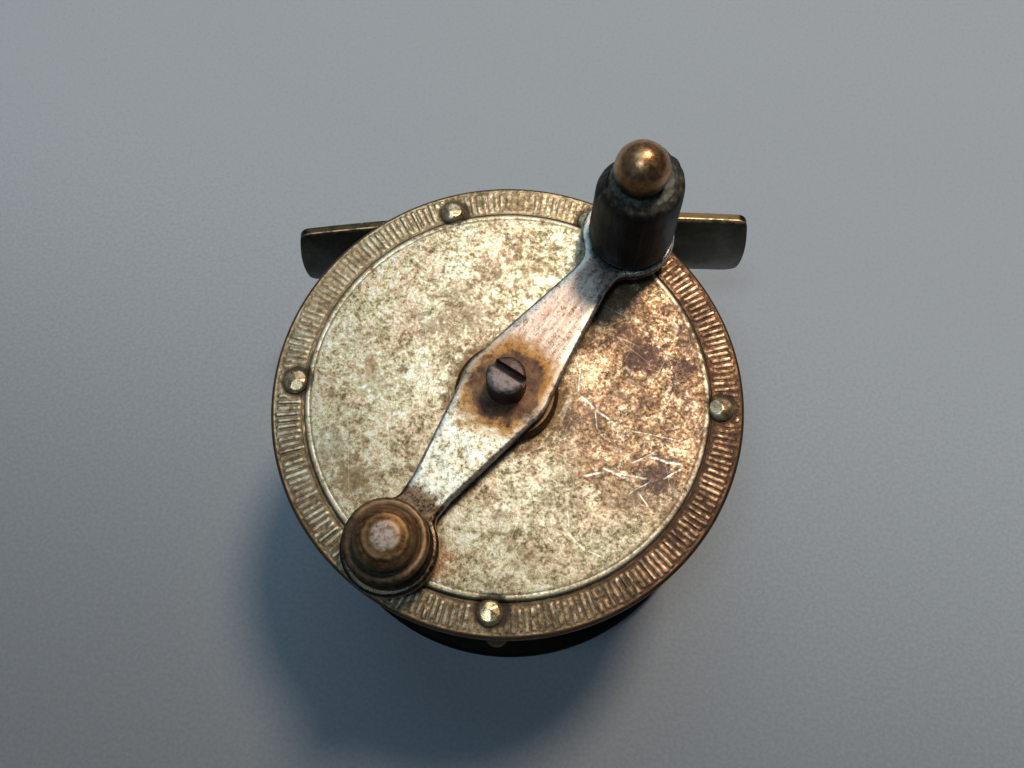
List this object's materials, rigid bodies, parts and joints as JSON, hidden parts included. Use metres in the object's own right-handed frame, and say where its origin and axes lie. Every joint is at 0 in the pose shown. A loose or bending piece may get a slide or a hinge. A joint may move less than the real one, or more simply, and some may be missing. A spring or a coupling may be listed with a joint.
{
  "type": "fishing reel",
  "caption": "Small old single-action fishing reel with a riveted pillar frame, balanced crank, tall handle knob, click mechanism and a curved foot that clamps to a rod.",
  "frame": {"origin": "centre of the tail side's resting plane, on the spool axis", "axes": "+Z along the spool axis towards the crank side, +Y from the spool axis towards the rod and the reel foot, +X along the rod"},
  "size_m": [0.0671, 0.0628, 0.0592],
  "materials": {
    "worn_nickel_plate": "worn nickel plating over brass, spotted",
    "tail_nickel": "dull, tarnished nickel plating over brass",
    "arm_nickel": "polished nickel plating with brown tarnish",
    "boss_bronze": "tarnished",
    "rivet_bronze": "dark, bright where rubbed",
    "weight_bronze": "brown patina, worn bright on top",
    "pin_bronze": "polished by the hand",
    "foot_brass": "dark patina, bright along the edges",
    "pillar_brass": "tarnished",
    "spool_brass": "tarnished",
    "dark_steel": "rusted dark",
    "inner_steel": "oiled",
    "spring_steel": "blued",
    "horn": "black horn, half polished"
  },
  "bodies": {
    "frame": {"tail_plate": "tail_nickel", "tail_bearing": "boss_bronze", "thrust_washer": "boss_bronze", "head_plate": "worn_nickel_plate", "head_bearing": "boss_bronze", "reel_foot": "foot_brass", "foot_screws": "dark_steel", "plain_pillars": "pillar_brass", "foot_pillar_right": "pillar_brass", "foot_pillar_left": "pillar_brass", "head_rivets": "rivet_bronze", "tail_rivets": "rivet_bronze", "spring_post": "rivet_bronze", "click_spring": "spring_steel"},
    "spool": {"spool_arbor": "spool_brass", "head_flange": "spool_brass", "tail_flange": "spool_brass", "spindle": "inner_steel", "click_ratchet": "inner_steel", "crank_arm": "arm_nickel", "crank_screw": "dark_steel", "knob_washer": "boss_bronze", "knob_pin": "pin_bronze", "counterweight": "weight_bronze"},
    "knob": {"handle_knob": "horn"},
    "button": {"click_button": "tail_nickel"},
    "pawl": {"click_pawl": "inner_steel"}
  },
  "joints": [
    {"name": "spool_spin", "type": "hinge", "parent": "frame", "child": "spool", "pos_m": [0, 0, 0.018], "axis": [0, 0, 1], "continuous": true},
    {"name": "knob_spin", "type": "hinge", "parent": "spool", "child": "knob", "pos_m": [0.01447, 0.02171, 0.047], "axis": [0, 0, 1], "continuous": true},
    {"name": "click_slide", "type": "slide", "parent": "frame", "child": "button", "axis": [0, 1, 0], "range_m": [0, 0.0016]},
    {"name": "pawl_rock", "type": "hinge", "parent": "button", "child": "pawl", "pos_m": [0, -0.0128, 0.006], "axis": [0, 0, 1], "range_deg": [-3.5, 3.5], "stiffness_Nm_per_rad": 0.002}
  ]
}
